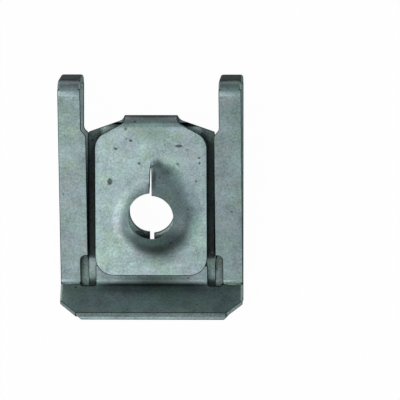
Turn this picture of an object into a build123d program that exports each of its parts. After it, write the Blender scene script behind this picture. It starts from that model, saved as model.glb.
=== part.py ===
from build123d import *
from build123d import SkipClean
import math
import os

# A U clip speed nut: one blank of spring steel, folded, with a tongue sheared out of its window.
# X runs across the clip, Y up the back leg, Z from the back leg to the front leg.
# Side points are written as (Y, Z), plan points as (X, Y), both in mm from the back leg's free end.

# Sheet and outer frame
SHEET = 0.6
CLIP_WIDTH = 16.0
CLIP_LENGTH = 21.6
BACK_CHAMFER = 1.7
LIP_CHAMFER = 1.4
TOP_FALL = 4.0
BACK_CORNER_IN = 0.45
FRONT_CORNER_IN = 0.55
LEG_LEAN = 16.6
KNEE_HEIGHT = 3.48
KNEE_IN = 0.5
PINCH_GAP = 0.45
LIP_ANGLE = 43.0
LIP_LENGTH = 3.58

# Window between the rails
RAIL_NARROW = 1.98
RAIL_WIDE = 2.42
RAIL_STEP_HEIGHT = 16.45
RAIL_STEP_RISE = 0.38
SHEAR_GAP = 0.05
ROOT_HEIGHT = 2.95
POCKET_DEPTH = 0.65
POCKET_BOTTOM = 3.05
POCKET_TOP = 5.75
POCKET_ROUND = 0.45
LAND_TOP = 4.85

# Tongue
ROOT_LEAN = 15.2
ROOT_BEND_IN = 1.2
EASE_RADIUS = 17.7
BACK_LEAF_LEAN = 1.15
CROWN_HEIGHT = 18.1
CROWN_IN = 0.5
CROWN_FLAT = 0.165
NECK_WIDTH = 4.6
LEAF_LEAN = 5.3
LEAF_END = 4.02
LEAF_STAND = 0.12
LEAF_SIDE_GAP = 0.67
LEAF_END_ROUND = 1.6
LEAF_SHOULDER_HEIGHT = 17.5
LEAF_SHOULDER_DROP = 1.4
LEAF_SHOULDER_ROUND = 1.5
BACK_SHOULDER_HEIGHT = 17.75
BACK_SHOULDER_DROP = 1.15
NECK_FILLET = 0.7

# Screw thread pressed out of the front leaf
SCREW_HEIGHT = 9.3
THREAD_RADIUS = 2.0
THREAD_PITCH = 1.55
LOW_LIP_RISE = 0.2
FLANK_ANGLE = 38.0
FLANK_WALL = 0.66
FOOT_SOFT = 0.9
FLAT_RIM_IN = 0.004
HALF_TURN_STEPS = 8
SLIT_MOUTH = 0.28
SLIT_TIP = 0.08

# Two prongs pressed out of the back leaf, half a turn of thread apart
PILOT_RADIUS = 1.95
PILOT_LIFT = 0.18
PRONG_HINGE = 3.1
PRONG_SHORT = 2.7
PRONG_LONG = 4.1
PRONG_GAP = 0.4
NEAR_PRONG_DROP = 0.28
FAR_PRONG_DROP = 0.95

# Reach of cutting shapes well clear of the clip, and their overrun past a face
FAR = 40.0
SPARE = 0.2

# Half width of the front leaf, from the window that it stands in, and the gap inside the crown
LEAF_HALF = CLIP_WIDTH / 2 - RAIL_WIDE - LEAF_SIDE_GAP
CROWN_GAP = 2 * CROWN_IN + CROWN_FLAT


def heading(degrees):
    """Direction in the side view, measured from straight up the back leg towards the front."""
    angle = math.radians(degrees)
    return Vector(math.cos(angle), math.sin(angle))


def meet(first, first_angle, second, second_angle):
    """Point where two side view lines cross."""
    along = heading(first_angle)
    across = heading(second_angle)
    gap = second - first
    reach = (gap.X * across.Y - gap.Y * across.X) / (along.X * across.Y - along.Y * across.X)
    return first + along * reach


def shifted(points, amount):
    """Line of points moved sideways, with mitred corners."""
    moved = []
    for index, here in enumerate(points):
        before = points[max(index, 1)] - points[max(index, 1) - 1]
        after_end = min(index + 1, len(points) - 1)
        after = points[after_end] - points[after_end - 1]
        side = before.normalized().rotate(Axis.Z, 90)
        next_side = after.normalized().rotate(Axis.Z, 90)
        mitre = (side + next_side).normalized()
        moved.append(here + mitre * (amount / mitre.dot(side)))
    return moved


def round_corner(face, point, radius):
    """Round the corner of a flat face that lies nearest to a point."""
    corner = face.vertices().sort_by_distance(point)[0]
    return fillet(corner, radius)


def sheet_profile(points, inner_radii):
    """Side profile of folded sheet along its middle line."""
    left = shifted(points, SHEET / 2)
    right = shifted(points, -SHEET / 2)
    face = make_face(Polyline(*left, *reversed(right), close=True))
    for index, radius in enumerate(inner_radii, start=1):
        before = points[index] - points[index - 1]
        after = points[index + 1] - points[index]
        turns_left = before.X * after.Y - before.Y * after.X > 0
        left_radius = radius if turns_left else radius + SHEET
        right_radius = radius + SHEET if turns_left else radius
        face = round_corner(face, left[index], left_radius)
        face = round_corner(face, right[index], right_radius)
    return face


def symmetric_face(half):
    """Flat plan face from the points of its right half."""
    other = [(-x, y) for x, y in reversed(half)]
    return make_face(Polyline(*half, *other, close=True))


def round_both(face, x, y, radius):
    """Round a corner of a plan face and its mirror image."""
    face = round_corner(face, Vector(x, y), radius)
    return round_corner(face, Vector(-x, y), radius)


def prism(face, low, high):
    """Plan face carried from one level to another."""
    return extrude(Pos(0, 0, low) * face, high - low)


def frame_line():
    """Middle line of the outer frame: back leg, top bar, front leg and lip."""
    back_radius = BACK_CORNER_IN + SHEET / 2
    knee_radius = KNEE_IN + SHEET / 2
    fall = math.radians(TOP_FALL)
    back_end = Vector(0, SHEET / 2)
    corner_height = CLIP_LENGTH - SHEET / 2 - back_radius
    corner_height += back_radius / math.cos(fall) + back_radius * math.tan(fall)
    back_corner = Vector(corner_height, SHEET / 2)
    knee_centre = Vector(KNEE_HEIGHT, 2 * SHEET + PINCH_GAP + KNEE_IN)
    half_turn = math.radians(LEG_LEAN + LIP_ANGLE) / 2
    towards_knee = heading((LEG_LEAN - LIP_ANGLE) / 2 - 90)
    knee = knee_centre + towards_knee * (knee_radius / math.cos(half_turn))
    front_corner = meet(knee, LEG_LEAN, back_corner, 90 + TOP_FALL)
    tip = knee + heading(180 - LIP_ANGLE) * LIP_LENGTH
    return [back_end, back_corner, front_corner, knee, tip]


def leaf_face_point(height):
    """Point of the front leaf's front face at a height."""
    knee = frame_line()[3]
    leg_front = SHEET / 2 / math.cos(math.radians(LEG_LEAN))
    land_front = knee.Y + (LAND_TOP - knee.X) * math.tan(math.radians(LEG_LEAN)) + leg_front
    leaf_wall = SHEET / math.cos(math.radians(LEAF_LEAN))
    level = land_front + LEAF_STAND + leaf_wall
    return Vector(height, level + (height - LAND_TOP) * math.tan(math.radians(LEAF_LEAN)))


def tongue_line():
    """Middle line of the tongue: root, back leaf, crown and front leaf."""
    start = Vector(ROOT_HEIGHT / 2, SHEET / 2)
    root = Vector(ROOT_HEIGHT, SHEET / 2)
    crown_line = Vector(CROWN_HEIGHT - SHEET / 2, 0)
    half_wall = SHEET / 2 / math.cos(math.radians(LEAF_LEAN))
    leaf_point = leaf_face_point(SCREW_HEIGHT) - Vector(0, half_wall)
    front_crown = meet(leaf_point, LEAF_LEAN, crown_line, 90)
    back_crown = front_crown - Vector(0, CROWN_GAP + SHEET)
    ease = meet(root, ROOT_LEAN, back_crown, BACK_LEAF_LEAN)
    end = meet(leaf_point, LEAF_LEAN, Vector(LEAF_END - SHEET, 0), 90)
    return [start, root, ease, back_crown, front_crown, end]


def back_window():
    """Plan of the opening in the back leg."""
    wide = CLIP_WIDTH / 2 - RAIL_WIDE
    narrow = CLIP_WIDTH / 2 - RAIL_NARROW
    step = RAIL_STEP_HEIGHT
    half = [(wide, ROOT_HEIGHT), (wide, step), (narrow, step + RAIL_STEP_RISE), (narrow, FAR)]
    return symmetric_face(half)


def front_window():
    """Plan of the opening in the front leg, with its two corner pockets."""
    wide = CLIP_WIDTH / 2 - RAIL_WIDE
    narrow = CLIP_WIDTH / 2 - RAIL_NARROW
    pocket = wide + POCKET_DEPTH
    step = RAIL_STEP_HEIGHT
    half = [(LEAF_HALF, LAND_TOP), (LEAF_HALF, POCKET_BOTTOM), (pocket, POCKET_BOTTOM)]
    half += [(pocket, POCKET_TOP), (wide, POCKET_TOP)]
    half += [(wide, step), (narrow, step + RAIL_STEP_RISE), (narrow, FAR)]
    face = symmetric_face(half)
    face = round_both(face, pocket, POCKET_TOP, POCKET_ROUND)
    face = round_both(face, pocket, POCKET_BOTTOM, POCKET_ROUND / 2)
    return round_both(face, LEAF_HALF, POCKET_BOTTOM, POCKET_ROUND / 2)


def sheet_corners(solid, point):
    """The two short corner edges of a sheet end, given its middle in the side view."""
    middle = Vector(0, point.X, point.Y)
    left = solid.edges().sort_by_distance(middle - Vector(CLIP_WIDTH / 2, 0, 0))[0]
    right = solid.edges().sort_by_distance(middle + Vector(CLIP_WIDTH / 2, 0, 0))[0]
    return [left, right]


def outer_frame():
    """Back plate and rails, top bars, front rails, band and lip."""
    line = frame_line()
    radii = [BACK_CORNER_IN, FRONT_CORNER_IN, KNEE_IN]
    solid = extrude(Plane.YZ * sheet_profile(line, radii), CLIP_WIDTH / 2, both=True)
    solid = chamfer(sheet_corners(solid, line[0]), BACK_CHAMFER)
    solid = chamfer(sheet_corners(solid, line[-1]), LIP_CHAMFER)
    split = SHEET + PINCH_GAP / 2
    solid -= prism(back_window(), -SPARE, split)
    return solid - prism(front_window(), split, FAR)


def back_leaf_plan():
    """Plan of the tongue's back leaf."""
    half = CLIP_WIDTH / 2 - RAIL_WIDE - SHEAR_GAP
    neck = NECK_WIDTH / 2
    low = BACK_SHOULDER_HEIGHT - BACK_SHOULDER_DROP
    face = symmetric_face([(half, 0), (half, low), (neck, BACK_SHOULDER_HEIGHT), (neck, FAR)])
    return round_both(face, neck, BACK_SHOULDER_HEIGHT, NECK_FILLET)


def front_leaf_plan():
    """Plan of the tongue's front leaf."""
    neck = NECK_WIDTH / 2
    low = LEAF_SHOULDER_HEIGHT - LEAF_SHOULDER_DROP
    half = [(LEAF_HALF, LEAF_END), (LEAF_HALF, low), (neck, LEAF_SHOULDER_HEIGHT), (neck, FAR)]
    face = symmetric_face(half)
    face = round_both(face, neck, LEAF_SHOULDER_HEIGHT, NECK_FILLET)
    face = round_both(face, LEAF_HALF, low, LEAF_SHOULDER_ROUND)
    return round_both(face, LEAF_HALF, LEAF_END, LEAF_END_ROUND)


def leaf_plane(depth=0.0):
    """Plane of the front leaf's front face at the screw, or parallel to it further back."""
    point = leaf_face_point(SCREW_HEIGHT)
    lean = math.radians(LEAF_LEAN)
    normal = Vector(0, -math.sin(lean), math.cos(lean))
    origin = Vector(0, point.X, point.Y) - normal * depth
    return Plane(origin=origin, x_dir=(1, 0, 0), z_dir=normal)


def space_in_front(depth):
    """Everything in front of a plane parallel to the front leaf."""
    block = Box(FAR, 2 * FAR, FAR, align=(Align.CENTER, Align.CENTER, Align.MIN))
    return leaf_plane(depth) * block


def flank_foot(rise):
    """Radius at which the flank has fallen by a rise."""
    return THREAD_RADIUS + rise / math.tan(math.radians(FLANK_ANGLE))


def pressed_face(turn, depth, level, soft, floor):
    """Radial face under the thread's flank, its soft foot and a flat rim, at a share of the turn."""
    rise = LOW_LIP_RISE + THREAD_PITCH * turn - depth
    inner = THREAD_RADIUS / 2
    foot = Vector(flank_foot(rise - level), level)
    start = Vector(inner, rise + (THREAD_RADIUS - inner) * math.tan(math.radians(FLANK_ANGLE)))
    down = (foot - start).normalized()
    flank_end = foot - down * soft
    soft_end = foot + Vector(soft, 0)
    rim = soft_end + Vector(SPARE, 0)
    edges = Line(start, flank_end) + TangentArc(flank_end, soft_end, tangent=down)
    edges += Line(soft_end, rim) + Polyline(rim, Vector(rim.X, floor), Vector(inner, floor), start)
    angle = math.radians(90 + 360 * turn)
    outward = Vector(math.cos(angle), math.sin(angle), 0)
    return Plane(origin=(0, 0, 0), x_dir=outward, z_dir=outward.cross(Vector(0, 0, 1))) * make_face(edges)


def half_turn(first, depth, level, soft, floor):
    """Solid through the radial faces of half a turn of thread."""
    turns = [first + step / (2 * HALF_TURN_STEPS) for step in range(HALF_TURN_STEPS + 1)]
    return loft([pressed_face(turn, depth, level, soft, floor) for turn in turns])


def pressed_hump(first):
    """Half a turn of the hump that the thread makes on the leaf's front."""
    return half_turn(first, 0, -FLAT_RIM_IN, FOOT_SOFT, -SHEET / 2)


def pressed_hollow(first):
    """Half a turn of the space that the thread leaves at the leaf's back."""
    soft = FOOT_SOFT + SHEET * math.tan(math.radians(FLANK_ANGLE / 2))
    return half_turn(first, FLANK_WALL, -SHEET - FLAT_RIM_IN, soft, -FAR / 2)


def slit():
    """Radial cut that lets the two ends of the thread part, as far as the foot of the high lip."""
    start = THREAD_RADIUS - SPARE
    end = flank_foot(LOW_LIP_RISE + THREAD_PITCH)
    right = [(SLIT_MOUTH / 2, start), (SLIT_TIP / 2, end)]
    return prism(symmetric_face(right), -FAR / 2, FAR / 2)


def add_thread(leaf):
    """Front leaf with the thread pressed out of it and its slit, before the hole is cut."""
    place = leaf_plane().location
    leaf += place * pressed_hump(0)
    leaf += place * pressed_hump(0.5)
    leaf -= place * pressed_hollow(0)
    leaf -= place * pressed_hollow(0.5)
    return leaf - place * slit()


def thread_quarters():
    """Screw hole of the front leaf as four quarter rounds, so that its climbing wall is four faces."""
    place = leaf_plane(SHEET + CROWN_GAP / 3).location
    quarter = Cylinder(THREAD_RADIUS, FAR, arc_size=90, align=None)
    return [place * Rot(0, 0, turn) * quarter for turn in (0, 90, 180, 270)]


def pilot_axis():
    """Line of the back leaf's hole."""
    return leaf_plane().location * Pos(0, PILOT_LIFT, 0)


def half_turned(points):
    """Plan points carried half a turn round the pilot hole."""
    return [(-x, -y) for x, y in points]


def pilot_height():
    """Height of the pilot hole where it crosses the back leaf."""
    line = tongue_line()
    crossing = meet(line[2], BACK_LEAF_LEAN, leaf_face_point(SCREW_HEIGHT), LEAF_LEAN + 90)
    return crossing.X + PILOT_LIFT


def prong_plan(edge, gap):
    """Plan of one prong, or of the opening it leaves, about the pilot hole."""
    short = PRONG_SHORT - gap
    tip = PRONG_LONG - gap
    points = [(-PRONG_HINGE, -short), (-PRONG_HINGE, short), (-PRONG_GAP / 2, tip)]
    return points + ([(edge, tip)] if edge > 0 else []) + [(edge, -short)]


def placed_plan(points):
    """Tall prism of plan points given about the pilot hole."""
    face = make_face(Polyline(*points, close=True))
    return Pos(0, pilot_height(), 0) * prism(face, -FAR / 2, FAR / 2)


def prong(side_face, side, drop, plan):
    """Back leaf sheet, sloping rearwards from its hinge, cut to a prong."""
    start = Pos(side * PRONG_HINGE, 0, 0) * side_face
    sheared = Solid.extrude(start.faces()[0], Vector(-side * PRONG_HINGE, 0, -drop))
    return sheared & placed_plan(plan)


def back_leaf(side_face, leaf):
    """Back leaf with its opening, prongs and pilot hole."""
    half_gap = PRONG_GAP / 2
    opening = prong_plan(half_gap, 0)
    leaf -= placed_plan(opening)
    leaf -= placed_plan(half_turned(opening))
    plan = prong_plan(-half_gap, SHEAR_GAP)
    leaf += prong(side_face, -1, FAR_PRONG_DROP, plan)
    leaf += prong(side_face, 1, NEAR_PRONG_DROP, half_turned(plan))
    return leaf - pilot_axis() * Cylinder(PILOT_RADIUS, FAR)


def tongue():
    """Tongue with its back leaf, crown and threaded front leaf."""
    line = tongue_line()
    radii = [ROOT_BEND_IN, EASE_RADIUS, CROWN_IN, CROWN_IN]
    side_face = Plane.YZ * sheet_profile(line, radii)
    solid = extrude(side_face, CLIP_WIDTH / 2, both=True)
    front_space = space_in_front(SHEET + CROWN_GAP / 3)
    front = solid & front_space & prism(front_leaf_plan(), 0, FAR)
    rear_solid = solid - front_space
    rear = rear_solid & prism(back_leaf_plan(), -SPARE, FAR)
    rear_face = side_face - front_space
    return back_leaf(rear_face, rear) + add_thread(front)


def speed_nut():
    """The whole folded blank, centred over the middle of its length."""
    solid = outer_frame() + tongue()
    with SkipClean():
        solid = solid.cut(*thread_quarters())
    return Pos(0, -CLIP_LENGTH / 2, 0) * solid


os.makedirs("parts", exist_ok=True)
export_step(speed_nut(), "parts/speed_nut.step")
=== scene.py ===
import math

import bmesh
import bpy
from mathutils import Matrix, Vector
from mathutils.bvhtree import BVHTree


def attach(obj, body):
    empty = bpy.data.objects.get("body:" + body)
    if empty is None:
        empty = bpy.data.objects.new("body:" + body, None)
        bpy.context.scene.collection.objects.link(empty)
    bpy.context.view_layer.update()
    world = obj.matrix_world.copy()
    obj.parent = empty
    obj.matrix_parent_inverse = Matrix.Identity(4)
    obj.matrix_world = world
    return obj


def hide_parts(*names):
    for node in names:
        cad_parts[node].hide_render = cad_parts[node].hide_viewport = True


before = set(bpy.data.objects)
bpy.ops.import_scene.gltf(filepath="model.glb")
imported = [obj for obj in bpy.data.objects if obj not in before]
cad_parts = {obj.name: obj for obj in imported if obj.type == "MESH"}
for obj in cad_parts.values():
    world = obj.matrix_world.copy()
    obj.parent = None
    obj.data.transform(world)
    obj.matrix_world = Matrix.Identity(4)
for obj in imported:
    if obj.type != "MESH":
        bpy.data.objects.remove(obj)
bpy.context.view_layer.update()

MM = 0.001

# Photograph: how much of the world it shows, and where the clip stands in it
PICTURE_WIDTH = 35.16 * MM
PICTURE_CENTRE = Vector((4.18 * MM, -0.26 * MM, 0.3 * MM))
CAMERA_DISTANCE = 0.55
CAMERA_RIGHT = 2.2
CAMERA_RAISED = 3.0
CAMERA_SEES = (0.01, 10.0)
SENSOR = 36.0

# Sheet: its flats, its cut faces and the eased edges between them
MERGE_DISTANCE = 0.001 * MM
FLAT_ANGLE = 0.4
SHEET_LIMIT = 0.75 * MM
PROBE_LIFT = 0.001 * MM
EDGE_ROUND = 0.055 * MM
CORNER_ROUND = 0.22 * MM
CORNER_SEGMENTS = 3
CORNER_FACING = 0.3
CUT_FACING = 0.9
EDGE_SEGMENTS = 2
EDGE_ANGLE = (38.0, 115.0)
FLAT_WEIGHT = 100
SEAM_X = 5.555 * MM
SEAM_GAP = 0.05 * MM
SEAM_ROUND = 0.01 * MM
SEAM_LOW = -7.85 * MM
SEAM_HIGH = -5.0 * MM
SEAM_TOP = 0.55 * MM
SEAM_END_REACH = 0.12 * MM
FOLD_SIDEWAYS = 0.02
FOLD_STEP = (2.0, 35.0)
FOLD_FACING = (0.36, 1.0)

# Studio
FLOOR_GAP = 0.01 * MM
FLOOR_HALF = 1.5
PAPER = (0.9, 0.9, 0.9, 1.0)
PAPER_ROUGHNESS = 0.9
PAPER_GLOW = 1.04
PAPER_SHARE = 0.93
ROOM_LIGHT = 0.25
CARD_ROOM = 2.4
CARD_ROOM_HEIGHT = 1.2
CARD_RED = 0.8
CARD_HALF = CARD_ROOM / 2
CARD_MIDDLE = CARD_ROOM_HEIGHT / 2
WALL = (CARD_ROOM, CARD_ROOM_HEIGHT)

# Cards round the clip: name, tone, size, place, tilt up from the floor, turn
CARDS = [
    ("ceiling_card", 0.42, (CARD_ROOM, CARD_ROOM), (0, 0, CARD_ROOM_HEIGHT), 0, 0),
    ("fill_card", 0.75, (1.0, 1.3), (0.60, -0.35, 1.10), 0, 0),
    ("card_above", 0.28, WALL, (0, CARD_HALF, CARD_MIDDLE), 90, 0),
    ("card_below", 0.05, WALL, (0, -CARD_HALF, CARD_MIDDLE), 90, 0),
    ("card_right", 0.30, WALL, (CARD_HALF, 0, CARD_MIDDLE), 90, 90),
    ("card_left", 0.40, WALL, (-CARD_HALF, 0, CARD_MIDDLE), 90, 90),
]

# Lamps: a broad window, and its brighter core
LAMP_PLACE = (-0.36, -0.17, 0.80)
LAMP_SIZE = (1.1, 0.75)
LAMP_POWER = 1.63
CORE_PLACE = (-0.40, -0.17, 0.72)
CORE_SIZE = (0.35, 0.30)
CORE_POWER = 0.22

# Finish
ZINC = (0.435, 0.515, 0.52, 1.0)
ZINC_ROUGHNESS = 0.37
CUT_ZINC = (0.29, 0.365, 0.365, 1.0)
CUT_ROUGHNESS = 0.5
# Eased edges: painted dark, as shade lines along them.
EDGE_PAINTED_SHADE = (0.06, 0.085, 0.085, 1.0)
GREEN_BLOOM = (0.99, 1.03, 0.94, 1.0)
LILAC_BLOOM = (1.05, 0.98, 1.03, 1.0)
WARM_BLOOM = (1.045, 1.0, 0.945, 1.0)
RIM_TINT = (0.12, 0.14, 0.14, 1.0)

# Noises of the bloom: scale, then detail and roughness
GRAIN_SCALE = 6000.0
GRAIN_NOISE = (3.0, 0.65)
CLOUD_SCALE = 700.0
CLOUD_NOISE = (4.0, 0.6)
TINT_SCALE = 420.0
TINT_NOISE = (3.0, 0.55)
WARM_SCALE = 560.0
WARM_NOISE = (2.0, 0.5)
GREEN_RANGE = (0.50, 0.62)
LILAC_RANGE = (0.50, 0.38)
WARM_RANGE = (0.54, 0.66)
GRAIN_POLISH = -0.4
BUMP_DEPTH = 0.002 * MM

# Specks: cells to the metre, share of cells that hold one, and its size
SPECK_SCALE = 1300.0
SPECK_SHARE = 0.34
SPECK_SIZE = 0.19
SPECK_LEAST = 0.3
SPECK_CORE = 0.5
SPECK_DARKNESS = 0.45

# Bloom of each finish: grain, cloud, tint, bump
ROLLED_BLOOM = (0.65, 0.5, 1.0, 0.5)
CUT_BLOOM = (1.0, 0.4, 0.6, 0.8)
EDGE_BLOOM = (0.4, 0.4, 0.5, 0.5)

# Shade: on the outer folds, in narrow gaps and slots, and in creases
SHELTER_SAMPLES = 8
FOLD_DARKNESS = 0.34
GAP_DARKNESS = 0.09
GAP_OPEN = (0.30, 0.38)
SLOT_OPEN = (0.55, 0.85)
SLOT_INNER = (3.9 * MM, 4.7 * MM)
SLOT_OUTER = (5.8 * MM, 5.6 * MM)
SLOT_FOOT = (-5.6 * MM, -5.0 * MM)
GAP_REACH = 4.0 * MM
CREASE_DARKNESS = 0.7
CREASE_OPEN = (0.45, 0.85)
CREASE_REACH = 2.0 * MM

# Painted light and shade: lighter on the left and darker on the right, darker on the lip, towards the
# top and on the rails
SIDE_REACH = 8.0 * MM
SIDE_PAINTED_LIGHT = (1.07, 0.90)
LIP_FOOT = (-7.0 * MM, -7.8 * MM)
LIP_LEVEL = (0.7 * MM, 0.9 * MM)
LIP_PAINTED_SHADE = 0.82
TOP_REACH = (4.0 * MM, 9.0 * MM)
TOP_PAINTED_SHADE = 0.90
RAIL_INNER = (5.2 * MM, 5.8 * MM)
RAIL_PAINTED_SHADE = 0.94

# Oval marks: how dark a dent is, where its rim ends, and how ragged the outline is
DENT_DARKNESS = 0.3
DENT_FULL = 0.5
OVAL_RIM = 1.05
DENT_GROWTH = 1.25
OVAL_RAGGED = 0.16 * MM
OVAL_RAGGED_SCALE = 3500.0

# Dents and specks on the front leaf: place across and up, half width, half length
DENTS = [
    ((-3.60, 1.50), 0.22, 0.32),
    ((2.45, 4.65), 0.36, 0.13),
    ((-3.08, 4.40), 0.17, 0.11),
    ((-1.75, 5.10), 0.16, 0.10),
    ((4.22, 3.60), 0.14, 0.10),
    ((4.28, 3.15), 0.10, 0.13),
    ((-1.05, 3.10), 0.15, 0.13),
]

# Levels of the marks over the back leg: middle and half height
LEAF_LEVEL = (3.4, 2.6)
KNEE_LEVEL = (1.9, 1.25)

# Patches of painted shade, and at the neck and the knee of painted highlight, where the sheet is drawn:
# place, half width, half length, level, tone
SHADE_AND_HIGHLIGHT_PATCHES = [
    ((0.62, 3.05), 0.80, 0.80, LEAF_LEVEL, 0.36),
    ((1.25, 2.50), 1.40, 1.05, LEAF_LEVEL, 0.48),
    ((0.30, 1.75), 0.34, 1.90, LEAF_LEVEL, 0.35),
    ((0.85, -4.95), 3.30, 1.50, LEAF_LEVEL, 0.52),
    ((2.75, -3.80), 1.15, 1.35, LEAF_LEVEL, 0.66),
    ((0.00, 5.95), 3.00, 1.30, LEAF_LEVEL, 0.72),
    ((0.00, 6.55), 3.40, 0.45, LEAF_LEVEL, 1.60),
    ((0.00, 7.15), 3.40, 0.45, LEAF_LEVEL, 0.60),
    ((0.00, -7.22), 5.60, 0.85, KNEE_LEVEL, 0.30),
    ((0.00, -7.80), 8.50, 0.42, KNEE_LEVEL, 1.50),
]


def link(piece):
    """Put a made object into the scene."""
    bpy.context.scene.collection.objects.link(piece)
    return piece


def mark_cut_faces(work):
    """Give sheared faces the second material: the metal is thick behind them."""
    tree = BVHTree.FromBMesh(work)
    for face in work.faces:
        start = face.calc_center_median() - face.normal * PROBE_LIFT
        hit = tree.ray_cast(start, -face.normal)
        thin = hit[0] is not None and hit[3] < SHEET_LIMIT
        face.material_index = 0 if thin else 1


def is_fold_edge(edge):
    """Whether two rolled faces meet here in one small step of a fold across the clip."""
    if len(edge.link_faces) != 2:
        return False
    if any(face.material_index or abs(face.normal.x) > FOLD_SIDEWAYS for face in edge.link_faces):
        return False
    step = math.degrees(edge.calc_face_angle_signed())
    return FOLD_STEP[0] < step < FOLD_STEP[1]


def mark_folds(work):
    """Write how much each point of an outer fold faces its crest, from 0 on the flats to 1, for the
    painted shade on the folds.
    """
    layer = work.verts.layers.float.new("outer_fold")
    for vert in work.verts:
        across = [edge for edge in vert.link_edges if is_fold_edge(edge)]
        rolled = [face for face in vert.link_faces if not face.material_index]
        if not across or len(rolled) < 2:
            continue
        facing = sum((face.normal for face in rolled), Vector()).normalized().y
        share = (facing - FOLD_FACING[0]) / (FOLD_FACING[1] - FOLD_FACING[0])
        vert[layer] = min(max(share, 0.0), 1.0)


def is_bar_corner(edge):
    """Whether this edge runs over a top bar, between its outer face and a cut side."""
    if len(edge.link_faces) != 2:
        return False
    cut = [face for face in edge.link_faces if abs(face.normal.x) > CUT_FACING]
    outer = [face for face in edge.link_faces if face.normal.y > CORNER_FACING]
    past_tongue = all(abs(vert.co.x) > SEAM_X for vert in edge.verts)
    return len(cut) == 1 and len(outer) == 1 and past_tongue


def round_bar_corners(work):
    """Rounder corners over the two top bars, where the press drew the sheet round."""
    edges = [edge for edge in work.edges if is_bar_corner(edge)]
    bmesh.ops.bevel(
        work, geom=edges, offset=CORNER_ROUND, offset_type="OFFSET", affect="EDGES",
        segments=CORNER_SEGMENTS, profile=0.5, clamp_overlap=False, material=-1)


def mark_edges(work):
    """Mark the edges to be eased; the thread's knife edge and the ends of the seams stay sharp."""
    layer = work.edges.layers.float.new("bevel_weight_edge")
    joined = [edge for edge in work.edges if len(edge.link_faces) == 2]
    angles = {edge: math.degrees(edge.calc_face_angle()) for edge in joined}
    knife = {vert for edge in joined if angles[edge] > EDGE_ANGLE[1] for vert in edge.verts}
    for edge in joined:
        if angles[edge] < EDGE_ANGLE[0]:
            continue
        ends = [vert.co for vert in edge.verts]
        at_seam = any(math.hypot(abs(end.x) - SEAM_X, end.y - SEAM_LOW) < SEAM_END_REACH for end in ends)
        edge.smooth = not (at_seam or any(vert in knife for vert in edge.verts))
        edge[layer] = float(edge.smooth)


def folded_blank():
    """The folded sheet with its sheared edges eased, in the solid's place."""
    work = bmesh.new()
    work.from_mesh(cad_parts["speed_nut"].data)
    bmesh.ops.remove_doubles(work, verts=work.verts, dist=MERGE_DISTANCE)
    mark_cut_faces(work)
    bmesh.ops.dissolve_limit(
        work, angle_limit=math.radians(FLAT_ANGLE), verts=work.verts, edges=work.edges,
        delimit={"MATERIAL"})
    mark_folds(work)
    round_bar_corners(work)
    mark_edges(work)
    mesh = bpy.data.meshes.new("folded_sheet")
    work.to_mesh(mesh)
    work.free()
    mesh.shade_smooth()
    piece = link(bpy.data.objects.new("folded_sheet", mesh))
    eased = piece.modifiers.new("eased_edges", "BEVEL")
    eased.width = EDGE_ROUND
    eased.segments = EDGE_SEGMENTS
    eased.limit_method = "WEIGHT"
    eased.use_clamp_overlap = False
    # The eased edges take the third material, painted dark as shade lines.
    eased.material = 2
    flats = piece.modifiers.new("true_flats", "WEIGHTED_NORMAL")
    flats.weight = FLAT_WEIGHT
    flats.keep_sharp = True
    return piece


def sheared_seam(side, name):
    """Burr that closes the hairline between the tongue's root and a back rail."""
    work = bmesh.new()
    bmesh.ops.create_cube(work, size=1.0)
    bmesh.ops.scale(work, verts=work.verts, vec=(SEAM_GAP, SEAM_HIGH - SEAM_LOW, SEAM_TOP))
    middle = (side * SEAM_X, (SEAM_HIGH + SEAM_LOW) / 2, SEAM_TOP / 2)
    bmesh.ops.translate(work, verts=work.verts, vec=middle)
    bmesh.ops.bevel(
        work, geom=work.edges, offset=SEAM_ROUND, affect="EDGES", segments=1, profile=0.5, material=-1)
    mesh = bpy.data.meshes.new(name)
    work.to_mesh(mesh)
    work.free()
    piece = link(bpy.data.objects.new(name, mesh))
    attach(piece, "root")
    return piece


def new_group(name, inputs, outputs):
    """Node group with named sockets; returns it with its input and output."""
    group = bpy.data.node_groups.new(name, "ShaderNodeTree")
    for socket, kind, value in inputs:
        made = group.interface.new_socket(name=socket, in_out="INPUT", socket_type=kind)
        made.default_value = value
    for socket, kind in outputs:
        group.interface.new_socket(name=socket, in_out="OUTPUT", socket_type=kind)
    entry = group.nodes.new("NodeGroupInput")
    result = group.nodes.new("NodeGroupOutput")
    return group, entry, result


def feed(links, socket, value):
    """Set a socket from another socket or from a plain value."""
    if isinstance(value, bpy.types.NodeSocket):
        links.new(value, socket)
    else:
        socket.default_value = value


def worked(tree, operation, first, second=0.0):
    """Result of a Math node."""
    node = tree.nodes.new("ShaderNodeMath")
    node.operation = operation
    feed(tree.links, node.inputs[0], first)
    feed(tree.links, node.inputs[1], second)
    return node.outputs[0]


def vectors(tree, operation, *values):
    """Vector Math node with its values fed in."""
    node = tree.nodes.new("ShaderNodeVectorMath")
    node.operation = operation
    for socket, value in zip(node.inputs, values):
        feed(tree.links, socket, value)
    return node


def darker(tree, colour, share):
    """Colour times a share."""
    node = vectors(tree, "SCALE", colour)
    feed(tree.links, node.inputs["Scale"], share)
    return node.outputs["Vector"]


def ranged(tree, value, low, high, start, end):
    """Value carried smoothly from one range to another."""
    node = tree.nodes.new("ShaderNodeMapRange")
    node.interpolation_type = "SMOOTHSTEP"
    feed(tree.links, node.inputs["Value"], value)
    feed(tree.links, node.inputs["From Min"], low)
    feed(tree.links, node.inputs["From Max"], high)
    feed(tree.links, node.inputs["To Min"], start)
    feed(tree.links, node.inputs["To Max"], end)
    return node.outputs["Result"]


def mixed(tree, blend, factor, first, second):
    """Result of a colour Mix node."""
    node = tree.nodes.new("ShaderNodeMix")
    node.data_type = "RGBA"
    node.blend_type = blend
    feed(tree.links, node.inputs["Factor"], factor)
    feed(tree.links, node.inputs[6], first)
    feed(tree.links, node.inputs[7], second)
    return node.outputs[2]


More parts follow.
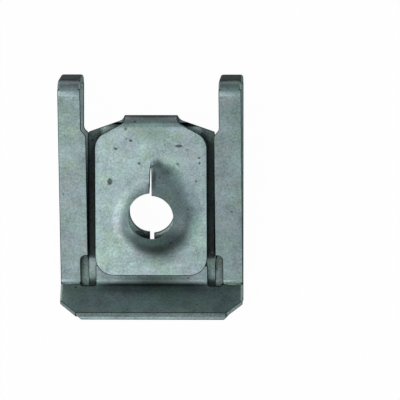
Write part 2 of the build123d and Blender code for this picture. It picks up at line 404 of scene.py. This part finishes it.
def speckle(tree, place, scale, detail, roughness):
    """Noise value at a place."""
    node = tree.nodes.new("ShaderNodeTexNoise")
    links = tree.links
    links.new(place, node.inputs["Vector"])
    feed(links, node.inputs["Scale"], scale)
    node.inputs["Detail"].default_value = detail
    node.inputs["Roughness"].default_value = roughness
    return node.outputs["Fac"]


def zinc_bloom_group():
    """Mottled, faintly coloured bloom of zinc: fine grain, broad clouds, and tints."""
    group, entry, result = new_group(
        "zinc_bloom",
        [("Vector", "NodeSocketVector", (0.0, 0.0, 0.0)),
         ("Metal", "NodeSocketColor", ZINC),
         ("Grain Scale", "NodeSocketFloat", GRAIN_SCALE),
         ("Grain", "NodeSocketFloat", 0.3),
         ("Cloud Scale", "NodeSocketFloat", CLOUD_SCALE),
         ("Cloud", "NodeSocketFloat", 0.25),
         ("Tint Scale", "NodeSocketFloat", TINT_SCALE),
         ("Tint", "NodeSocketFloat", 1.0),
         ("Dull", "NodeSocketFloat", ZINC_ROUGHNESS)],
        [("Color", "NodeSocketColor"), ("Roughness", "NodeSocketFloat"), ("Height", "NodeSocketFloat")])
    place = entry.outputs["Vector"]
    grain = speckle(group, place, entry.outputs["Grain Scale"], *GRAIN_NOISE)
    cloud = speckle(group, place, entry.outputs["Cloud Scale"], *CLOUD_NOISE)
    hue = speckle(group, place, entry.outputs["Tint Scale"], *TINT_NOISE)
    grain_part = worked(group, "MULTIPLY", worked(group, "SUBTRACT", grain, 0.5), entry.outputs["Grain"])
    cloud_part = worked(group, "MULTIPLY", worked(group, "SUBTRACT", cloud, 0.5), entry.outputs["Cloud"])
    level = worked(group, "ADD", worked(group, "ADD", grain_part, cloud_part), 0.5)
    level = worked(group, "MULTIPLY", level, 2.0)
    green = ranged(group, hue, *GREEN_RANGE, 0.0, 1.0)
    lilac = ranged(group, hue, *LILAC_RANGE, 0.0, 1.0)
    green = worked(group, "MULTIPLY", green, entry.outputs["Tint"])
    lilac = worked(group, "MULTIPLY", lilac, entry.outputs["Tint"])
    colour = mixed(group, "MULTIPLY", green, entry.outputs["Metal"], GREEN_BLOOM)
    colour = mixed(group, "MULTIPLY", lilac, colour, LILAC_BLOOM)
    warmth = speckle(group, place, WARM_SCALE, *WARM_NOISE)
    warm = ranged(group, warmth, *WARM_RANGE, 0.0, 1.0)
    warm = worked(group, "MULTIPLY", warm, entry.outputs["Tint"])
    colour = mixed(group, "MULTIPLY", warm, colour, WARM_BLOOM)
    group.links.new(darker(group, colour, level), result.inputs["Color"])
    polish = worked(group, "MULTIPLY", grain_part, GRAIN_POLISH)
    rough = worked(group, "ADD", entry.outputs["Dull"], polish)
    group.links.new(rough, result.inputs["Roughness"])
    group.links.new(worked(group, "ADD", grain, cloud), result.inputs["Height"])
    return group


def oval_mark_group():
    """Mask of one oval, for the dents and for the patches of painted shade and highlight: one inside it
    and nought outside.
    """
    group, entry, result = new_group(
        "oval_mark",
        [("Vector", "NodeSocketVector", (0.0, 0.0, 0.0)),
         ("Place", "NodeSocketVector", (0.0, 0.0, 0.0)),
         ("Half Size", "NodeSocketVector", (1.0, 1.0, 1.0)),
         ("Full", "NodeSocketFloat", 0.5)],
        [("Mask", "NodeSocketFloat")])
    place = entry.outputs["Vector"]
    away = vectors(group, "SUBTRACT", place, entry.outputs["Place"]).outputs["Vector"]
    ragged = group.nodes.new("ShaderNodeTexNoise")
    ragged.inputs["Scale"].default_value = OVAL_RAGGED_SCALE
    group.links.new(place, ragged.inputs["Vector"])
    spread = (OVAL_RAGGED, OVAL_RAGGED, 0.0)
    half_spread = (OVAL_RAGGED / 2, OVAL_RAGGED / 2, 0.0)
    centred = vectors(group, "SUBTRACT", away, half_spread).outputs["Vector"]
    shaken = vectors(group, "MULTIPLY_ADD", ragged.outputs["Color"], spread, centred).outputs["Vector"]
    share = vectors(group, "DIVIDE", shaken, entry.outputs["Half Size"]).outputs["Vector"]
    length = vectors(group, "LENGTH", share)
    inside = ranged(group, length.outputs["Value"], entry.outputs["Full"], OVAL_RIM, 1.0, 0.0)
    group.links.new(inside, result.inputs["Mask"])
    return group


def speck_group():
    """Mask of small dark specks scattered by chance."""
    group, entry, result = new_group(
        "specks",
        [("Vector", "NodeSocketVector", (0.0, 0.0, 0.0)),
         ("Scale", "NodeSocketFloat", SPECK_SCALE),
         ("Share", "NodeSocketFloat", SPECK_SHARE),
         ("Size", "NodeSocketFloat", SPECK_SIZE)],
        [("Mask", "NodeSocketFloat")])
    cells = group.nodes.new("ShaderNodeTexVoronoi")
    group.links.new(entry.outputs["Vector"], cells.inputs["Vector"])
    group.links.new(entry.outputs["Scale"], cells.inputs["Scale"])
    parts = group.nodes.new("ShaderNodeSeparateColor")
    group.links.new(cells.outputs["Color"], parts.inputs["Color"])
    chosen = worked(group, "LESS_THAN", parts.outputs["Red"], entry.outputs["Share"])
    size = worked(group, "ADD", parts.outputs["Green"], SPECK_LEAST)
    size = worked(group, "MULTIPLY", size, entry.outputs["Size"])
    core = worked(group, "MULTIPLY", size, SPECK_CORE)
    inside = ranged(group, cells.outputs["Distance"], core, size, 1.0, 0.0)
    group.links.new(worked(group, "MULTIPLY", inside, chosen), result.inputs["Mask"])
    return group


def new_material(name):
    """A material with only its shader and output."""
    material = bpy.data.materials.new(name)
    material.use_nodes = True
    return material, material.node_tree.nodes, material.node_tree.links


def placed(tree, group):
    """Node that holds a group."""
    node = tree.nodes.new("ShaderNodeGroup")
    node.node_tree = group
    return node


def bloom_settings(node, metal, dull, grain, cloud, tint):
    """Set the plain values of a zinc bloom node."""
    node.inputs["Metal"].default_value = metal
    node.inputs["Dull"].default_value = dull
    node.inputs["Grain"].default_value = grain
    node.inputs["Cloud"].default_value = cloud
    node.inputs["Tint"].default_value = tint


def slots(tree, place):
    """One in the two slots beside the tongue, nought elsewhere."""
    parts = tree.nodes.new("ShaderNodeSeparateXYZ")
    tree.links.new(place, parts.inputs[0])
    across = worked(tree, "ABSOLUTE", parts.outputs["X"])
    inner = ranged(tree, across, *SLOT_INNER, 0.0, 1.0)
    outer = ranged(tree, across, *SLOT_OUTER, 0.0, 1.0)
    above = ranged(tree, parts.outputs["Y"], *SLOT_FOOT, 0.0, 1.0)
    return worked(tree, "MULTIPLY", worked(tree, "MULTIPLY", inner, outer), above)


def painted_hollow_shade(tree, reach, opening, darkness):
    """Share of brightness left in narrow places: painted shade, darker where the surface sees little
    open space around it.
    """
    open_sky = tree.nodes.new("ShaderNodeAmbientOcclusion")
    open_sky.samples = SHELTER_SAMPLES
    open_sky.only_local = True
    open_sky.inputs["Distance"].default_value = reach
    return ranged(tree, open_sky.outputs["AO"], *opening, darkness, 1.0)


def bumped(tree, height, strength, distance):
    """Normal from a height."""
    node = tree.nodes.new("ShaderNodeBump")
    node.inputs["Strength"].default_value = strength
    node.inputs["Distance"].default_value = distance
    tree.links.new(height, node.inputs["Height"])
    return node.outputs["Normal"]


def plated(name, metal, dull, grain, cloud, tint, bump):
    """Zinc plated metal with bloom, specks and shade in the gaps."""
    material, nodes, links = new_material(name)
    tree = material.node_tree
    shader = nodes["Principled BSDF"]
    shader.inputs["Metallic"].default_value = 1.0
    shader.inputs["Specular Tint"].default_value = RIM_TINT
    place = nodes.new("ShaderNodeTexCoord").outputs["Object"]
    bloom = placed(tree, bloom_group)
    links.new(place, bloom.inputs["Vector"])
    bloom_settings(bloom, metal, dull, grain, cloud, tint)
    specks = placed(tree, specks_group)
    links.new(place, specks.inputs["Vector"])
    specks_and_shade = ranged(tree, specks.outputs["Mask"], 0.0, 1.0, 1.0, SPECK_DARKNESS)
    slot = slots(tree, place)
    opening = [ranged(tree, slot, 0.0, 1.0, GAP_OPEN[end], SLOT_OPEN[end]) for end in (0, 1)]
    # Painted shade in the gaps, slots and creases; the specks above are real marks.
    gap = painted_hollow_shade(tree, GAP_REACH, opening, GAP_DARKNESS)
    crease = painted_hollow_shade(tree, CREASE_REACH, CREASE_OPEN, CREASE_DARKNESS)
    specks_and_shade = worked(tree, "MULTIPLY", specks_and_shade, worked(tree, "MULTIPLY", gap, crease))
    colour = darker(tree, bloom.outputs["Color"], specks_and_shade)
    links.new(bloom.outputs["Roughness"], shader.inputs["Roughness"])
    links.new(bumped(tree, bloom.outputs["Height"], bump, BUMP_DEPTH), shader.inputs["Normal"])
    return material, shader, place, colour


def marked(tree, place, share, middle, half_size, level, full, darkness):
    """Share of brightness with one more oval mark, at its level over the back leg."""
    oval_mark = placed(tree, oval_marks_group)
    tree.links.new(place, oval_mark.inputs["Vector"])
    oval_mark.inputs["Place"].default_value = (middle[0] * MM, middle[1] * MM, level[0] * MM)
    oval_mark.inputs["Half Size"].default_value = (half_size[0] * MM, half_size[1] * MM, level[1] * MM)
    oval_mark.inputs["Full"].default_value = full
    return worked(tree, "MULTIPLY", share, ranged(tree, oval_mark.outputs["Mask"], 0.0, 1.0, 1.0, darkness))


def zinc_plating():
    """Rolled faces: bloomed zinc with dents, painted shade on the outer folds, broad painted light and
    shade, and patches of painted shade and highlight.
    """
    material, shader, place, colour = plated("zinc_plating", ZINC, ZINC_ROUGHNESS, *ROLLED_BLOOM)
    tree = material.node_tree
    fold = tree.nodes.new("ShaderNodeAttribute")
    fold.attribute_name = "outer_fold"
    # Painted shade on the outer folds, darkest where they face their crest.
    share = ranged(tree, fold.outputs["Fac"], 0.0, 1.0, 1.0, FOLD_DARKNESS)
    sides = tree.nodes.new("ShaderNodeSeparateXYZ")
    tree.links.new(place, sides.inputs[0])
    # Painted light: lighter on the left, darker on the right.
    side_light = ranged(tree, sides.outputs["X"], -SIDE_REACH, SIDE_REACH, *SIDE_PAINTED_LIGHT)
    share = worked(tree, "MULTIPLY", share, side_light)
    # Painted shade on the lip.
    past_knee = ranged(tree, sides.outputs["Y"], *LIP_FOOT, 0.0, 1.0)
    off_leg = ranged(tree, sides.outputs["Z"], *LIP_LEVEL, 0.0, 1.0)
    lip = ranged(tree, worked(tree, "MULTIPLY", past_knee, off_leg), 0.0, 1.0, 1.0, LIP_PAINTED_SHADE)
    share = worked(tree, "MULTIPLY", share, lip)
    # Painted shade towards the top.
    top = ranged(tree, sides.outputs["Y"], *TOP_REACH, 1.0, TOP_PAINTED_SHADE)
    share = worked(tree, "MULTIPLY", share, top)
    # Painted shade on the rails.
    off_middle = worked(tree, "ABSOLUTE", sides.outputs["X"])
    rail = ranged(tree, off_middle, *RAIL_INNER, 1.0, RAIL_PAINTED_SHADE)
    share = worked(tree, "MULTIPLY", share, rail)
    for middle, half_width, half_length in DENTS:
        half_size = (half_width * DENT_GROWTH, half_length * DENT_GROWTH)
        share = marked(tree, place, share, middle, half_size, LEAF_LEVEL, DENT_FULL, DENT_DARKNESS)
    # Patches of painted shade and painted highlight.
    for middle, half_width, half_length, level, tone in SHADE_AND_HIGHLIGHT_PATCHES:
        share = marked(tree, place, share, middle, (half_width, half_length), level, 0.0, tone)
    tree.links.new(darker(tree, colour, share), shader.inputs["Base Color"])
    return material


def plain_metal(name, metal, bloom):
    """Sheared faces, duller and more even, or eased edges painted dark as shade lines: plating without
    marks.
    """
    material, shader, _, colour = plated(name, metal, CUT_ROUGHNESS, *bloom)
    material.node_tree.links.new(colour, shader.inputs["Base Color"])
    return material


def seen_rays(tree):
    """Socket that is one for camera, glossy and transmission rays."""
    path = tree.nodes.new("ShaderNodeLightPath")
    glossy = path.outputs["Is Glossy Ray"]
    polished = worked(tree, "MAXIMUM", glossy, path.outputs["Is Transmission Ray"])
    return worked(tree, "MAXIMUM", path.outputs["Is Camera Ray"], polished)


def white_paper():
    """Floor that the camera and polished faces see as white, with the clip's soft shadow on it."""
    material, nodes, links = new_material("white_paper")
    shader = nodes["Principled BSDF"]
    output = nodes["Material Output"]
    shader.inputs["Base Color"].default_value = PAPER
    shader.inputs["Roughness"].default_value = PAPER_ROUGHNESS
    glow = nodes.new("ShaderNodeEmission")
    glow.inputs["Strength"].default_value = PAPER_GLOW
    tree = material.node_tree
    share = worked(tree, "MULTIPLY", seen_rays(tree), PAPER_SHARE)
    blend = nodes.new("ShaderNodeMixShader")
    links.new(share, blend.inputs["Fac"])
    links.new(shader.outputs["BSDF"], blend.inputs[1])
    links.new(glow.outputs["Emission"], blend.inputs[2])
    links.new(blend.outputs["Shader"], output.inputs["Surface"])
    return material


def floor():
    """Sheet of paper under the clip."""
    work = bmesh.new()
    bmesh.ops.create_grid(work, x_segments=1, y_segments=1, size=FLOOR_HALF)
    mesh = bpy.data.meshes.new("floor")
    work.to_mesh(mesh)
    work.free()
    mesh.transform(Matrix.Translation((0, 0, -FLOOR_GAP)))
    mesh.materials.append(white_paper())
    piece = link(bpy.data.objects.new("floor", mesh))


def lamp(name, place, size, power):
    """Softbox aimed at the origin."""
    data = bpy.data.lights.new(name, "AREA")
    data.shape = "RECTANGLE"
    data.size, data.size_y = size
    data.energy = power
    piece = link(bpy.data.objects.new(name, data))
    piece.location = place
    piece.rotation_mode = "QUATERNION"
    piece.rotation_quaternion = (-Vector(place)).to_track_quat("-Z", "Y")


def room():
    """White room, dimmer as a light than it looks to the camera and in polished faces."""
    world = bpy.data.worlds.new("room")
    world.use_nodes = True
    bpy.context.scene.world = world
    nodes, links = world.node_tree.nodes, world.node_tree.links
    back = nodes["Background"]
    back.inputs["Color"].default_value = (1.0, 1.0, 1.0, 1.0)
    strength = nodes.new("ShaderNodeMapRange")
    strength.inputs["To Min"].default_value = ROOM_LIGHT
    strength.inputs["To Max"].default_value = 1.0
    links.new(seen_rays(world.node_tree), strength.inputs["Value"])
    links.new(strength.outputs["Result"], back.inputs["Strength"])


def studio_card(name, tone, size, place, tilt, turn):
    """Card of one cool grey, seen only in the metal: tilted up from the floor, turned, then placed."""
    work = bmesh.new()
    bmesh.ops.create_grid(work, x_segments=1, y_segments=1, size=0.5)
    bmesh.ops.scale(work, verts=work.verts, vec=(size[0], size[1], 1.0))
    bmesh.ops.rotate(work, verts=work.verts, matrix=Matrix.Rotation(math.radians(tilt), 3, "X"))
    bmesh.ops.rotate(work, verts=work.verts, matrix=Matrix.Rotation(math.radians(turn), 3, "Z"))
    bmesh.ops.translate(work, verts=work.verts, vec=place)
    mesh = bpy.data.meshes.new(name)
    work.to_mesh(mesh)
    work.free()
    material, nodes, links = new_material(name)
    tint = nodes.new("ShaderNodeEmission")
    tint.inputs["Color"].default_value = (tone * CARD_RED, tone, tone, 1.0)
    links.new(tint.outputs["Emission"], nodes["Material Output"].inputs["Surface"])
    nodes.remove(nodes["Principled BSDF"])
    mesh.materials.append(material)
    card = link(bpy.data.objects.new(name, mesh))
    card.visible_camera = False
    card.visible_diffuse = False
    card.visible_shadow = False


def camera():
    """Long lens over the front of the clip, as the photograph was taken."""
    data = bpy.data.cameras.new("camera")
    data.sensor_width = SENSOR
    data.lens = SENSOR * CAMERA_DISTANCE / PICTURE_WIDTH
    data.clip_start, data.clip_end = CAMERA_SEES
    piece = link(bpy.data.objects.new("camera", data))
    right = math.tan(math.radians(CAMERA_RIGHT))
    raised = math.tan(math.radians(CAMERA_RAISED))
    towards = Vector((right, raised, 1.0)).normalized()
    piece.location = PICTURE_CENTRE + towards * CAMERA_DISTANCE
    across = Vector((0, 1, 0)).cross(towards).normalized()
    upright = towards.cross(across)
    piece.rotation_mode = "QUATERNION"
    piece.rotation_quaternion = Matrix((across, upright, towards)).transposed().to_quaternion()
    bpy.context.scene.camera = piece


bloom_group = zinc_bloom_group()
specks_group = speck_group()
oval_marks_group = oval_mark_group()

sheet = folded_blank()
sheet.data.materials.append(zinc_plating())
sheet.data.materials.append(plain_metal("cut_zinc", CUT_ZINC, CUT_BLOOM))
sheet.data.materials.append(plain_metal("edge_painted_shade", EDGE_PAINTED_SHADE, EDGE_BLOOM))
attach(sheet, "root")
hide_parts("speed_nut")

# The seams take the edges' dark material: painted shade along the hairline.
for side, name in ((-1, "left_seam"), (1, "right_seam")):
    sheared_seam(side, name).data.materials.append(sheet.data.materials["edge_painted_shade"])

floor()
room()
lamp("window_light", LAMP_PLACE, LAMP_SIZE, LAMP_POWER)
lamp("window_core", CORE_PLACE, CORE_SIZE, CORE_POWER)
for card in CARDS:
    studio_card(*card)
camera()
bpy.context.scene.view_settings.view_transform = "Standard"
